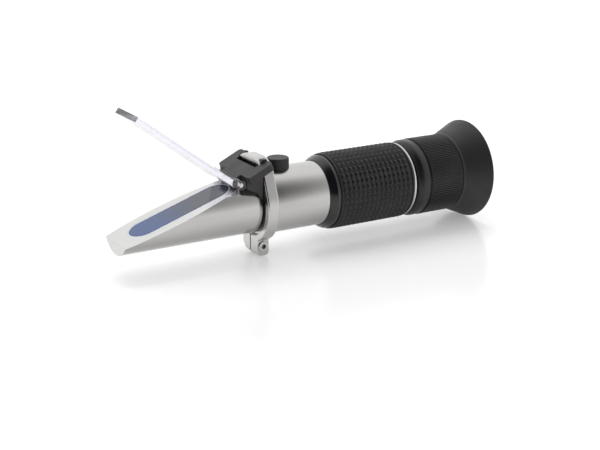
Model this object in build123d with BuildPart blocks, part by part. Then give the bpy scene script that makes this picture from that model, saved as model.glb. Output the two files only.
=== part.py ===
"""Hand-held refractometer: a prism nose with a hinged daylight plate, a tube with the lenses
and scale, a rubber grip and a focusing eyepiece with an eyecup.

The optical axis runs along +X from the prism nose to the eyecup, +Z is up and the daylight
plate is open. Stations are measured along the axis from the tip of the nose. The origin is the
middle of the underside, on the surface that the eyecup's rim rests on. Sizes are millimetres.
"""
from build123d import *
import os
from math import cos, pi, radians, sin, sqrt, tan

os.makedirs("parts", exist_ok=True)

# Main lengths along the axis, from the tip of the nose to the rim of the eyecup
nose_length = 61.0
tube_length = 69.2
trim_length = 4.4
grip_length = 36.3
accent_width = 1.1
focus_gap = 1.1
focus_length = 23.0
cup_length = 12.8

# Main radii and clearances
tube_radius = 13.5
tube_wall = 1.45
rim_radius = 21.6
running_gap = 0.08
soft_gap = 0.3
cut_margin = 1.0

# Prism housing and its slanted face
chord_depth = 7.17
slant_angle = 18.26
spigot_length = 6.0
light_wall = 6.05
light_bore_drop = 1.5
light_bore_length = 29.0
rear_wall = 2.45
rear_bore_length = 12.0

# Prism window
window_setback = 6.7
window_length = 44.8
window_half_width = 6.55
seal_width = 0.45
prism_depth = 4.4
prism_bevel = 0.3

# Daylight plate and its hinge
hinge_setback = 11.6
hinge_lift = 2.4
hinge_pin_radius = 1.0
pin_setback = 0.2
pin_chamfer = 0.15
ear_radius = 1.9
ear_web = 2.1
ear_width = 5.3
ear_gap = 0.3
plate_open_angle = 37.5
plate_tip_setback = 0.2
plate_thickness = 2.3
plate_clearance = 0.6
film_gap = 0.1
plate_inset = 0.05
plate_corner = 1.2

# Clamp band and its screw
band_lead = 1.7
band_width = 5.1
band_thickness = 2.45
bridge_rise = 6.7
shoulder_inset = 1.2
shoulder_radius = 9.5
band_edge = 0.6
lug_half_width = 6.2
lug_drop = 7.7
lug_split = 0.7
lug_corner = 1.6
far_ear_chamfer = 3.4
clamp_screw_radius = 1.25
clamp_screw_drop = 3.8
clamp_screw_setback = 1.0
clamp_head_radius = 2.3
clamp_head_length = 2.4
clamp_head_proud = 0.5
clamp_head_chamfer = 0.25
clamp_socket_radius = 1.15
clamp_socket_depth = 1.3

# Hinge bracket: wings, saddle, raised lips and the slot in front of the band
tee_angle = 25.5
tee_thickness = 2.9
tee_lead = 0.7
tee_cover = 1.34
wing_setback = 2.4
wing_overhang = 0.1
wing_corner = 1.6
tee_overhang = 3.1
tee_bury = 0.5
slot_lead = 1.8
slot_half_width = 8.1
saddle_inset = 0.15
saddle_setback = 0.2
saddle_dip = 0.4
saddle_drop = 7.35
saddle_tip_length = 1.0
saddle_knee_length = 2.3
saddle_knee_rise = 2.4
lip_inset = 1.5
lip_width = 2.2
lip_rise = 0.45
lip_setback = 0.1
lip_slope = 0.9

# Calibration screw, its bush and its rubber cap
cal_setback = 8.0
bush_radius = 3.4
bush_rise = 1.9
bush_foot = 0.6
bush_chamfer = 0.3
cal_screw_radius = 1.5
cal_screw_sink = 0.4
cal_slot_width = 0.6
cal_slot_depth = 0.9
cap_radius = 4.6
cap_rise = 4.1
cap_roof = 1.3
cap_edge = 0.5

# Objective and its temperature compensation
carrier_lead = 4.4
carrier_length = 9.0
carrier_wall = 3.05
cell_length = 6.0
cell_wall = 1.6
cell_travel = 0.4
lens_seat = 1.5
lens_lip = 1.0
lens_bulge = 0.9
objective_thickness = 3.0
strip_thickness = 0.3
strip_width = 5.0
strip_length = 11.5
tab_length = 5.0
tab_width = 6.0
strip_screw_radius = 1.0
strip_screw_length = 2.6
strip_head_radius = 1.8
strip_slot_depth = 0.5

# Scale disc
scale_setback = 4.1
scale_holder_length = 6.0
scale_seat_length = 2.0
scale_wall = 2.45
scale_lip = 1.1
scale_disc_thickness = 1.5

# Grip
trim_front_rise = 0.35
trim_rise = 2.1
trim_bulge_station = 1.6
trim_bulge = 1.15
trim_step = 0.25
trim_step_length = 1.5
grip_wall = 2.7
grip_bevel = 0.3
grip_front_bevel = 0.8
grip_rear_bevel = 0.6
accent_rise = 2.4

# Eyepiece barrel, ocular and lenses
barrel_engaged = 12.2
barrel_reach = 13.6
barrel_wall = 1.5
ocular_engaged = 12.0
ocular_wall = 1.4
ocular_lip = 2.0
collar_gap = 0.9
collar_width = 1.0
collar_clearance = 0.45
field_lens_thickness = 3.0
eye_lens_thickness = 4.0
retainer_length = 2.0

# Focusing ring
focus_wall = 4.57
focus_front_drop = 1.6
focus_bead_drop = 0.15
focus_bead_length = 6.4
focus_round_length = 2.6
focus_groove_width = 0.9
focus_groove_depth = 0.6
rib_count = 120
rib_depth = 0.3
rib_share = 0.4

# Eyecup
cup_throat_drop = 1.2
cup_floor = 3.2
cup_root_length = 1.2
cup_root_rise = 0.1
cup_root_round = 3.0
cup_flare_angle = 25.5
cup_rim_round = 0.6
cup_wall = 2.0
cup_bowl_round = 4.0

# Stations worked out along the axis
tube_start = nose_length
grip_end = tube_start + tube_length
grip_start = grip_end - grip_length
trim_start = grip_start - trim_length
accent_end = grip_end + accent_width
focus_start = accent_end + focus_gap
cup_start = focus_start + focus_length
overall_length = cup_start + cup_length
spigot_end = tube_start + spigot_length
band_start = tube_start - band_lead
band_end = band_start + band_width
hinge_station = nose_length - hinge_setback
nose_x = -overall_length / 2

# Heights and radii worked out from the tube
axis_height = rim_radius
tube_bore = tube_radius - tube_wall
nose_radius = tube_bore
slant_rise = tan(radians(slant_angle))
optic_axis = Axis((nose_x, 0, axis_height), (1, 0, 0))
side_plane = Plane(origin=(nose_x, 0, axis_height), x_dir=(1, 0, 0), z_dir=(0, -1, 0))


def cross_plane(station):
    """Plane across the axis at a station, with local x along +Y and local y up."""
    return Plane(origin=(nose_x + station, 0, axis_height), x_dir=(0, 1, 0), z_dir=(1, 0, 0))


def top_plane(height):
    """Level plane at a height above the axis, with its origin over the nose tip."""
    return Plane(origin=(nose_x, 0, axis_height + height), x_dir=(1, 0, 0), z_dir=(0, 0, 1))


def slope_plane(station, height, angle):
    """Plane that rises towards the eyecup, with local x up the slope and local y along +Y."""
    return Plane(
        origin=(nose_x + station, 0, axis_height + height),
        x_dir=(cos(radians(angle)), 0, sin(radians(angle))),
        z_dir=(-sin(radians(angle)), 0, cos(radians(angle))),
    )


def slant_height(station):
    """Height of the slanted prism face above the axis."""
    return station * slant_rise - chord_depth


slant_plane = slope_plane(0, -chord_depth, slant_angle)


# Prism housing: a round nose cut by the slanted face, bored for the light and turned down
# at the rear to a spigot in the tube
pocket_length = window_length + 2 * seal_width
pocket_half_width = window_half_width + seal_width
window_centre = window_setback + window_length / 2
with BuildPart() as nose_form:
    with BuildSketch(cross_plane(0)):
        Circle(nose_radius)
    extrude(amount=spigot_end)
    with BuildSketch(side_plane):
        with BuildLine():
            nose_front = -cut_margin
            nose_rear = spigot_end + cut_margin
            Polyline(
                (nose_front, slant_height(nose_front)),
                (nose_rear, slant_height(nose_rear)),
                (nose_front, slant_height(nose_rear)),
                close=True,
            )
        make_face()
    extrude(amount=nose_radius + cut_margin, both=True, mode=Mode.SUBTRACT)

with BuildPart() as prism_housing:
    add(nose_form.part)
    with BuildSketch(slant_plane):
        with Locations((window_centre, 0)):
            SlotOverall(pocket_length, 2 * pocket_half_width)
    extrude(amount=-prism_depth, mode=Mode.SUBTRACT)
    with BuildSketch(cross_plane(spigot_end)):
        with Locations((0, -light_bore_drop)):
            Circle(nose_radius - light_wall)
    extrude(amount=-light_bore_length, mode=Mode.SUBTRACT)
    with BuildSketch(cross_plane(spigot_end)):
        Circle(nose_radius - rear_wall)
    extrude(amount=-rear_bore_length, mode=Mode.SUBTRACT)
prism_housing.part.label = "prism_housing"
export_step(prism_housing.part, "parts/prism_housing.step")

with BuildPart() as main_prism:
    with BuildSketch(slant_plane):
        with Locations((window_centre, 0)):
            SlotOverall(window_length, 2 * window_half_width)
    extrude(amount=-prism_depth)
    chamfer(main_prism.faces().sort_by(Axis.Z)[-1].edges(), prism_bevel)
main_prism.part.label = "main_prism"
export_step(main_prism.part, "parts/main_prism.step")

with BuildPart() as prism_seal:
    with BuildSketch(slant_plane):
        with Locations((window_centre, 0)):
            SlotOverall(pocket_length, 2 * pocket_half_width)
            SlotOverall(window_length, 2 * window_half_width, mode=Mode.SUBTRACT)
    extrude(amount=-prism_depth)
prism_seal.part.label = "prism_seal"
export_step(prism_seal.part, "parts/prism_seal.step")


# Main tube: straight barrel with the hole for the calibration bush
cal_station = band_end + cal_setback
with BuildPart() as main_tube:
    with BuildSketch(cross_plane(tube_start)):
        Circle(tube_radius)
        Circle(tube_bore, mode=Mode.SUBTRACT)
    extrude(amount=tube_length)
    with BuildSketch(top_plane(0)):
        with Locations((cal_station, 0)):
            Circle(bush_radius)
    extrude(amount=tube_radius + cut_margin, mode=Mode.SUBTRACT)
main_tube.part.label = "main_tube"
export_step(main_tube.part, "parts/main_tube.step")


# Clamp band: a flat strip round the tube that bridges over the hinge bracket and closes in
# two ears below, drawn together by the clamp screw
band_radius = tube_radius + band_thickness
band_top = tube_radius + bridge_rise
lug_foot = tube_radius + lug_drop
screw_place = (band_start + band_width / 2, -tube_radius - clamp_screw_drop)


def band_outline(grow):
    """Outline of the band, the hull of the tube and its two shoulders, grown outwards."""
    shoulder_centre = tube_radius - shoulder_inset - shoulder_radius
    with BuildSketch(mode=Mode.PRIVATE) as outline:
        Circle(band_radius + grow)
        with GridLocations(2 * shoulder_centre, 0, 2, 1):
            with Locations((0, band_top - shoulder_radius)):
                Circle(shoulder_radius + grow)
        make_hull()
    return outline.sketch


with BuildPart() as clamp_band:
    with BuildSketch(cross_plane(band_start)):
        add(band_outline(0))
        add(band_outline(-band_thickness), mode=Mode.SUBTRACT)
    extrude(amount=band_width)
    fillet(clamp_band.faces().sort_by(Axis.X)[0].outer_wire().edges(), band_edge)
    fillet(clamp_band.faces().sort_by(Axis.X)[-1].outer_wire().edges(), band_edge)
    with BuildSketch(cross_plane(band_start)):
        with BuildLine():
            lug_top = -tube_radius
            Polyline(
                (-lug_half_width, lug_top),
                (-lug_half_width, -lug_foot),
                (lug_half_width - far_ear_chamfer, -lug_foot),
                (lug_half_width, -lug_foot + far_ear_chamfer),
                (lug_half_width, lug_top),
                close=True,
            )
        make_face()
    extrude(amount=band_width)
    lug_corners = clamp_band.edges().filter_by(Axis.Y).group_by(Axis.Z)[0]
    fillet(lug_corners, lug_corner)
    with BuildSketch(cross_plane(band_start)):
        Circle(tube_radius)
        with Locations((0, -lug_foot)):
            Rectangle(lug_split, lug_foot, align=(Align.CENTER, Align.MIN))
    extrude(amount=band_width, mode=Mode.SUBTRACT)
    with BuildSketch(side_plane.offset(lug_half_width)):
        with Locations(screw_place):
            Circle(clamp_head_radius + running_gap)
    extrude(amount=clamp_head_proud - clamp_head_length, mode=Mode.SUBTRACT)
    with BuildSketch(side_plane):
        with Locations(screw_place):
            Circle(clamp_screw_radius + running_gap)
    extrude(amount=lug_half_width, both=True, mode=Mode.SUBTRACT)
clamp_band.part.label = "clamp_band"
export_step(clamp_band.part, "parts/clamp_band.step")

with BuildPart() as clamp_screw:
    with BuildSketch(side_plane.offset(lug_half_width + clamp_head_proud)):
        with Locations(screw_place):
            Circle(clamp_head_radius)
    extrude(amount=-clamp_head_length)
    chamfer(clamp_screw.edges().group_by(Axis.Y)[0], clamp_head_chamfer)
    with BuildSketch(side_plane.offset(lug_half_width + clamp_head_proud)):
        with Locations(screw_place):
            RegularPolygon(clamp_socket_radius, 6)
    extrude(amount=-clamp_socket_depth, mode=Mode.SUBTRACT)
    with BuildSketch(side_plane.offset(lug_half_width + clamp_head_proud - clamp_head_length)):
        with Locations(screw_place):
            Circle(clamp_screw_radius)
    extrude(amount=clamp_head_length - clamp_head_proud - 2 * lug_half_width + clamp_screw_setback)
clamp_screw.part.label = "clamp_screw"
export_step(clamp_screw.part, "parts/clamp_screw.step")


# Hinge bracket: a moulded tee that slopes up to the rear, on a saddle round the nose. Its
# tongue carries the pin, and its rear arms reach past the shoulders of the band
hinge_height = slant_height(hinge_station) + hinge_lift / cos(radians(slant_angle))
tee_front = hinge_station - tee_lead
tee_front_height = hinge_height + tee_cover
tee_rise = tan(radians(tee_angle))
plate_root_half_width = nose_radius - plate_inset
ear_inner = plate_root_half_width - ear_width
tongue_half_width = ear_inner - ear_gap
wing_half_width = tube_radius + wing_overhang
tee_plane = slope_plane(tee_front, tee_front_height, tee_angle)


def along_tee(station):
    """Distance up the tee's slope to a station."""
    return (station - tee_front) / cos(radians(tee_angle))


def tee_height(station):
    """Height of the tee's upper face above the axis at a station."""
    return tee_front_height + (station - tee_front) * tee_rise


wing_station = hinge_station + wing_setback
wing_front = along_tee(wing_station)
tee_rear_station = band_start + tee_overhang
tee_rear = along_tee(tee_rear_station)
slot_station = band_start - slot_lead
slot_front = along_tee(slot_station)
saddle_front = wing_station + saddle_setback
saddle_rear = band_start - soft_gap
saddle_half_width = nose_radius - saddle_inset
saddle_tip_height = nose_radius - saddle_drop
lip_inner = slot_half_width - lip_inset
lip_top = tee_height(tee_rear_station) + lip_rise
lip_front = band_start + lip_setback
foot_half_width = lip_inner - tee_bury
with BuildPart() as hinge_bracket:
    with BuildSketch(tee_plane):
        with Locations(((wing_front + tee_rear) / 2, 0)):
            RectangleRounded(tee_rear - wing_front, 2 * wing_half_width, wing_corner)
        with Locations((wing_front / 2 + wing_corner / 2, 0)):
            Rectangle(wing_front + wing_corner, 2 * tongue_half_width)
    extrude(amount=-tee_thickness)
    # Saddle under the tee, with its side walls drawn in to the points beside the nose
    with BuildSketch(side_plane):
        with BuildLine():
            Polyline(
                (saddle_front, tee_height(saddle_front) - tee_bury),
                (saddle_front, slant_height(saddle_front) - saddle_dip),
                (band_start - saddle_knee_length, saddle_tip_height + saddle_knee_rise),
                (band_start - saddle_tip_length, saddle_tip_height),
                (saddle_rear, saddle_tip_height),
                (saddle_rear, tee_height(saddle_rear) - tee_bury),
                close=True,
            )
        make_face()
    extrude(amount=saddle_half_width, both=True)
    # Tongue down to the prism face, round the hinge pin
    with BuildSketch(side_plane):
        with BuildLine():
            Polyline(
                (hinge_station, tee_height(hinge_station) - tee_bury),
                (hinge_station, slant_height(hinge_station)),
                (saddle_rear, slant_height(saddle_rear)),
                (saddle_rear, tee_height(saddle_rear) - tee_bury),
                close=True,
            )
        make_face()
        with Locations((hinge_station, hinge_height)):
            Circle(ear_radius)
    extrude(amount=tongue_half_width, both=True)
    # Foot between the tube and the bridge of the band
    with BuildSketch(cross_plane(saddle_rear)):
        with Locations((0, tube_radius)):
            Rectangle(2 * foot_half_width, band_top - band_thickness - tube_radius,
                      align=(Align.CENTER, Align.MIN))
    extrude(amount=band_width + soft_gap)
    # Raised lips of the arms, over the shoulders of the band
    for side in (1, -1):
        with BuildSketch(side_plane.offset(side * lip_inner)):
            with BuildLine():
                Polyline(
                    (lip_front, tee_height(lip_front) - tee_thickness),
                    (lip_front, tee_height(lip_front)),
                    (lip_front + lip_slope, lip_top),
                    (tee_rear_station, lip_top),
                    (tee_rear_station, tee_height(lip_front) - tee_thickness),
                    close=True,
                )
            make_face()
        extrude(amount=side * lip_width)
    # Slot for the bridge of the band, open to the rear
    with BuildSketch(tee_plane.offset(running_gap)):
        with Locations((slot_front, 0)):
            Rectangle(along_tee(band_start) - slot_front, 2 * slot_half_width,
                      align=(Align.MIN, Align.CENTER))
    extrude(amount=-tee_thickness, mode=Mode.SUBTRACT)
    # Way for the band through the arms
    with BuildSketch(cross_plane(band_start - soft_gap / 2)):
        add(band_outline(running_gap))
        add(band_outline(-band_thickness), mode=Mode.SUBTRACT)
    extrude(amount=band_width + soft_gap, mode=Mode.SUBTRACT)
    # Bore for the pin
    with BuildSketch(side_plane):
        with Locations((hinge_station, hinge_height)):
            Circle(hinge_pin_radius)
    extrude(amount=tongue_half_width, both=True, mode=Mode.SUBTRACT)
    # Fit round the nose and the tube
    add(nose_form.part, mode=Mode.SUBTRACT)
    with BuildSketch(cross_plane(band_start - soft_gap)):
        Circle(tube_radius)
    extrude(amount=tee_rear_station - band_start + cut_margin, mode=Mode.SUBTRACT)
hinge_bracket.part.label = "hinge_bracket"
export_step(hinge_bracket.part, "parts/hinge_bracket.step")

with BuildPart() as hinge_pin:
    with BuildSketch(side_plane):
        with Locations((hinge_station, hinge_height)):
            Circle(hinge_pin_radius)
    extrude(amount=plate_root_half_width - pin_setback, both=True)
    chamfer(hinge_pin.edges().filter_by(GeomType.CIRCLE), pin_chamfer)
hinge_pin.part.label = "hinge_pin"
export_step(hinge_pin.part, "parts/hinge_pin.step")


# Daylight plate: a clear plate that narrows to its tip, with two ears on the pin
plate_plane = Plane(
    origin=(nose_x + hinge_station, 0, axis_height + hinge_height),
    x_dir=(-cos(radians(plate_open_angle)), 0, sin(radians(plate_open_angle))),
    z_dir=(sin(radians(plate_open_angle)), 0, cos(radians(plate_open_angle))),
)
plate_side_plane = Plane(
    origin=plate_plane.origin,
    x_dir=plate_plane.x_dir,
    z_dir=(0, 1, 0),
)
plate_inner = film_gap - hinge_lift
plate_outer = plate_inner + plate_thickness
plate_root = ear_radius + plate_clearance
plate_tip_half_width = sqrt(nose_radius**2 - chord_depth**2) - plate_inset
plate_length = hinge_station / cos(radians(slant_angle)) + hinge_lift * slant_rise - plate_tip_setback
with BuildPart() as daylight_plate:
    with BuildSketch(plate_plane.offset(plate_inner)):
        with BuildLine():
            Polyline(
                (plate_root, -plate_root_half_width),
                (plate_length, -plate_tip_half_width),
                (plate_length, plate_tip_half_width),
                (plate_root, plate_root_half_width),
                close=True,
            )
        face = make_face()
        tip_corners = face.vertices().group_by(Axis.X)[0]
        fillet(tip_corners, plate_corner)
    extrude(amount=plate_thickness)
    with BuildSketch(plate_side_plane):
        Circle(ear_radius)
        with BuildLine():
            Polyline(
                (0, -ear_radius),
                (plate_root + ear_web, plate_inner),
                (plate_root + ear_web, plate_outer),
                (0, ear_radius),
                close=True,
            )
        make_face()
    extrude(amount=plate_root_half_width, both=True)
    with BuildSketch(plate_side_plane):
        Circle(plate_root)
    extrude(amount=ear_inner, both=True, mode=Mode.SUBTRACT)
    with BuildSketch(plate_side_plane):
        Circle(hinge_pin_radius + running_gap)
    extrude(amount=plate_root_half_width, both=True, mode=Mode.SUBTRACT)
daylight_plate.part.label = "daylight_plate"
export_step(daylight_plate.part, "parts/daylight_plate.step")


# Calibration screw in its bush, under a rubber cap that pulls off
carrier_bore = tube_bore - carrier_wall
cell_radius = carrier_bore - cell_travel
cal_screw_tip = carrier_bore
bush_top = tube_radius + bush_rise
cal_screw_top = bush_top - cal_screw_sink
cap_top = tube_radius + cap_rise
with BuildPart() as calibration_bush:
    with BuildSketch(top_plane(tube_bore - bush_foot)):
        with Locations((cal_station, 0)):
            Circle(bush_radius)
    extrude(amount=bush_top - tube_bore + bush_foot)
    chamfer(calibration_bush.edges().group_by(Axis.Z)[-1], bush_chamfer)
    with BuildSketch(top_plane(bush_top)):
        with Locations((cal_station, 0)):
            Circle(cal_screw_radius)
    extrude(amount=-bush_top, mode=Mode.SUBTRACT)
calibration_bush.part.label = "calibration_bush"
export_step(calibration_bush.part, "parts/calibration_bush.step")

with BuildPart() as calibration_screw:
    with BuildSketch(top_plane(cal_screw_tip)):
        with Locations((cal_station, 0)):
            Circle(cal_screw_radius - running_gap)
    extrude(amount=cal_screw_top - cal_screw_tip)
    with BuildSketch(top_plane(cal_screw_top)):
        with Locations((cal_station, 0)):
            Rectangle(2 * cal_screw_radius, cal_slot_width)
    extrude(amount=-cal_slot_depth, mode=Mode.SUBTRACT)
calibration_screw.part.label = "calibration_screw"
export_step(calibration_screw.part, "parts/calibration_screw.step")

with BuildPart() as calibration_cap:
    with BuildSketch(top_plane(cap_top)):
        with Locations((cal_station, 0)):
            Circle(cap_radius)
    extrude(amount=tube_bore - cap_top)
    fillet(calibration_cap.edges().group_by(Axis.Z)[-1], cap_edge)
    with BuildSketch(top_plane(cap_top - cap_roof)):
        with Locations((cal_station, 0)):
            Circle(bush_radius + running_gap)
    extrude(amount=tube_bore - cap_top, mode=Mode.SUBTRACT)
    with BuildSketch(cross_plane(cal_station - cap_radius)):
        Circle(tube_radius + running_gap)
    extrude(amount=2 * cap_radius, mode=Mode.SUBTRACT)
calibration_cap.part.label = "calibration_cap"
export_step(calibration_cap.part, "parts/calibration_cap.step")


# Objective: a ring fixed in the tube carries a bimetal strip on its tab. The cell lies between
# the strip and the tip of the calibration screw, so the strip lifts it as the room warms
carrier_start = cal_station - carrier_lead
carrier_end = carrier_start + carrier_length
tab_centre = carrier_end + tab_length / 2
strip_top = -carrier_bore
with BuildPart() as objective_carrier:
    with BuildSketch(cross_plane(carrier_start)):
        Circle(tube_bore)
        Circle(carrier_bore, mode=Mode.SUBTRACT)
    extrude(amount=carrier_length)
    with BuildSketch(cross_plane(carrier_start)):
        Circle(tube_bore)
        with Locations((0, strip_top - strip_thickness)):
            Rectangle(tab_width, tube_bore, align=(Align.CENTER, Align.MAX), mode=Mode.INTERSECT)
    extrude(amount=carrier_length + tab_length)
    # Bed for the strip, level with the tab
    with BuildSketch(cross_plane(carrier_start)):
        with Locations((0, strip_top - strip_thickness)):
            Rectangle(tab_width, carrier_bore, align=(Align.CENTER, Align.MIN))
    extrude(amount=carrier_length, mode=Mode.SUBTRACT)
    # Ways for the calibration screw, its bush and the strip's screw
    with BuildSketch(top_plane(0)):
        with Locations((cal_station, 0)):
            Circle(cal_screw_radius + running_gap)
    extrude(amount=tube_radius, mode=Mode.SUBTRACT)
    with BuildSketch(top_plane(tube_bore - bush_foot)):
        with Locations((cal_station, 0)):
            Circle(bush_radius)
    extrude(amount=tube_radius, mode=Mode.SUBTRACT)
    with BuildSketch(top_plane(strip_top)):
        with Locations((tab_centre, 0)):
            Circle(strip_screw_radius)
    extrude(amount=-strip_screw_length, mode=Mode.SUBTRACT)
objective_carrier.part.label = "objective_carrier"
export_step(objective_carrier.part, "parts/objective_carrier.step")

with BuildPart() as bimetal_strip:
    with BuildSketch(top_plane(strip_top)):
        with Locations((carrier_end + tab_length, 0)):
            Rectangle(strip_length, strip_width, align=(Align.MAX, Align.CENTER))
        with Locations((tab_centre, 0)):
            Circle(strip_screw_radius, mode=Mode.SUBTRACT)
    extrude(amount=-strip_thickness)
bimetal_strip.part.label = "bimetal_strip"
export_step(bimetal_strip.part, "parts/bimetal_strip.step")

with BuildPart() as strip_screw:
    with BuildSketch(top_plane(strip_top)):
        with Locations((tab_centre, 0)):
            Circle(strip_screw_radius)
    extrude(amount=-strip_screw_length)
    with BuildSketch(top_plane(strip_top)):
        with Locations((tab_centre, 0)):
            Circle(strip_head_radius)
    extrude(amount=strip_screw_radius)
    with BuildSketch(top_plane(strip_top + strip_screw_radius)):
        with Locations((tab_centre, 0)):
            Rectangle(2 * strip_head_radius, strip_slot_depth)
    extrude(amount=-strip_slot_depth, mode=Mode.SUBTRACT)
strip_screw.part.label = "strip_screw"
export_step(strip_screw.part, "parts/strip_screw.step")

cell_start = cal_station - cell_length / 2
objective_radius = cell_radius - cell_wall
objective_station = cell_start + lens_seat
with BuildPart() as objective_cell:
    with BuildSketch(cross_plane(cell_start)):
        Circle(cell_radius)
        Circle(objective_radius - lens_lip, mode=Mode.SUBTRACT)
    extrude(amount=cell_length)
    with BuildSketch(cross_plane(objective_station)):
        Circle(objective_radius)
    extrude(amount=cell_length, mode=Mode.SUBTRACT)
objective_cell.part.label = "objective_cell"
export_step(objective_cell.part, "parts/objective_cell.step")


def lens_outline(station, radius, thickness, front_bulge):
    """Half outline of a lens above the axis, with a domed rear and a domed or flat front."""
    rear = station + thickness
    dome_radius = (radius**2 + lens_bulge**2) / (2 * lens_bulge)
    with BuildSketch() as outline:
        with BuildLine():
            if front_bulge > 0:
                RadiusArc((station, 0), (station + front_bulge, radius), dome_radius)
            else:
                Line((station, 0), (station, radius))
            Line((station + front_bulge, radius), (rear - lens_bulge, radius))
            RadiusArc((rear - lens_bulge, radius), (rear, 0), dome_radius)
            Line((rear, 0), (station, 0))
        make_face()
    return outline.sketch


with BuildPart() as objective_lens:
    with BuildSketch(side_plane):
        add(lens_outline(objective_station, objective_radius, objective_thickness, lens_bulge))
    revolve(axis=optic_axis)
objective_lens.part.label = "objective_lens"
export_step(objective_lens.part, "parts/objective_lens.step")


# Scale disc in the middle of the tube, between a seat and a ring that holds it down
scale_station = grip_start + scale_setback
scale_seat = scale_station + scale_seat_length
scale_rear = scale_seat + scale_disc_thickness
scale_disc_radius = tube_bore - scale_wall
scale_clear_radius = scale_disc_radius - scale_lip
with BuildPart() as scale_holder:
    with BuildSketch(cross_plane(scale_station)):
        Circle(tube_bore)
        Circle(scale_clear_radius, mode=Mode.SUBTRACT)
    extrude(amount=scale_holder_length)
    with BuildSketch(cross_plane(scale_seat)):
        Circle(scale_disc_radius)
    extrude(amount=scale_holder_length, mode=Mode.SUBTRACT)
scale_holder.part.label = "scale_holder"
export_step(scale_holder.part, "parts/scale_holder.step")

with BuildPart() as scale_disc:
    with BuildSketch(cross_plane(scale_seat)):
        Circle(scale_disc_radius)
    extrude(amount=scale_disc_thickness)
scale_disc.part.label = "scale_disc"
export_step(scale_disc.part, "parts/scale_disc.step")

with BuildPart() as scale_retainer:
    with BuildSketch(cross_plane(scale_rear)):
        Circle(scale_disc_radius)
        Circle(scale_clear_radius, mode=Mode.SUBTRACT)
    extrude(amount=scale_station + scale_holder_length - scale_rear)
scale_retainer.part.label = "scale_retainer"
export_step(scale_retainer.part, "parts/scale_retainer.step")


# Grip: a bright black bead, the rubber sleeve and a thin bright ring behind it
trim_root = tube_radius + trim_front_rise
trim_radius = tube_radius + trim_rise
grip_radius = tube_radius + grip_wall
with BuildPart() as grip_trim:
    with BuildSketch(side_plane):
        with BuildLine():
            trim_shoulder = grip_start - trim_step_length
            ThreePointArc(
                (trim_start, trim_root),
                (trim_start + trim_bulge_station, trim_root + trim_bulge),
                (trim_shoulder, trim_radius),
            )
            Polyline(
                (trim_shoulder, trim_radius),
                (trim_shoulder, trim_radius - trim_step),
                (grip_start, trim_radius - trim_step),
                (grip_start, tube_radius),
                (trim_start, tube_radius),
                (trim_start, trim_root),
            )
        make_face()
    revolve(axis=optic_axis)
grip_trim.part.label = "grip_trim"
export_step(grip_trim.part, "parts/grip_trim.step")

with BuildPart() as grip_sleeve:
    with BuildSketch(cross_plane(grip_start)):
        Circle(grip_radius)
    extrude(amount=grip_length)
    chamfer(grip_sleeve.edges().group_by(Axis.X)[0], grip_front_bevel, grip_bevel)
    chamfer(grip_sleeve.edges().group_by(Axis.X)[-1], grip_bevel, grip_rear_bevel)
    with BuildSketch(cross_plane(grip_start)):
        Circle(tube_radius)
    extrude(amount=grip_length, mode=Mode.SUBTRACT)
grip_sleeve.part.label = "grip_sleeve"
export_step(grip_sleeve.part, "parts/grip_sleeve.step")

with BuildPart() as accent_ring:
    with BuildSketch(cross_plane(grip_end)):
        Circle(tube_radius + accent_rise)
        Circle(tube_bore, mode=Mode.SUBTRACT)
    extrude(amount=accent_width)
accent_ring.part.label = "accent_ring"
export_step(accent_ring.part, "parts/accent_ring.step")


# Eyepiece: a fixed barrel, and the ocular that slides in it behind a collar
barrel_start = grip_end - barrel_engaged
barrel_end = focus_start + barrel_reach
barrel_bore = tube_bore - barrel_wall
ocular_start = barrel_end - ocular_engaged
ocular_end = cup_start - running_gap
ocular_radius = barrel_bore - running_gap
ocular_bore = ocular_radius - ocular_wall
collar_start = barrel_end + collar_gap
web_start = collar_start + collar_width + running_gap
field_lens_station = ocular_start + ocular_lip
eye_lens_station = web_start
with BuildPart() as eyepiece_barrel:
    with BuildSketch(cross_plane(barrel_start)):
        Circle(tube_bore)
        Circle(barrel_bore, mode=Mode.SUBTRACT)
    extrude(amount=barrel_end - barrel_start)
eyepiece_barrel.part.label = "eyepiece_barrel"
export_step(eyepiece_barrel.part, "parts/eyepiece_barrel.step")

with BuildPart() as ocular_cell:
    with BuildSketch(cross_plane(ocular_start)):
        Circle(ocular_radius)
    extrude(amount=ocular_end - ocular_start)
    with BuildSketch(cross_plane(collar_start)):
        Circle(tube_bore - collar_clearance)
    extrude(amount=collar_width)
    with BuildSketch(cross_plane(ocular_start)):
        Circle(ocular_bore - lens_lip)
    extrude(amount=ocular_end - ocular_start, mode=Mode.SUBTRACT)
    with BuildSketch(cross_plane(field_lens_station)):
        Circle(ocular_bore)
    extrude(amount=ocular_end - field_lens_station, mode=Mode.SUBTRACT)
ocular_cell.part.label = "ocular_cell"
export_step(ocular_cell.part, "parts/ocular_cell.step")

with BuildPart() as field_lens:
    with BuildSketch(side_plane):
        add(lens_outline(field_lens_station, ocular_bore, field_lens_thickness, 0))
    revolve(axis=optic_axis)
field_lens.part.label = "field_lens"
export_step(field_lens.part, "parts/field_lens.step")

with BuildPart() as eye_lens:
    with BuildSketch(side_plane):
        add(lens_outline(eye_lens_station, ocular_bore, eye_lens_thickness, lens_bulge))
    revolve(axis=optic_axis)
eye_lens.part.label = "eye_lens"
export_step(eye_lens.part, "parts/eye_lens.step")

spacer_start = field_lens_station + field_lens_thickness - lens_bulge
with BuildPart() as lens_spacer:
    with BuildSketch(cross_plane(spacer_start)):
        Circle(ocular_bore)
        Circle(ocular_bore - lens_lip, mode=Mode.SUBTRACT)
    extrude(amount=eye_lens_station + lens_bulge - spacer_start)
    add(field_lens.part, mode=Mode.SUBTRACT)
    add(eye_lens.part, mode=Mode.SUBTRACT)
lens_spacer.part.label = "lens_spacer"
export_step(lens_spacer.part, "parts/lens_spacer.step")

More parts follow.
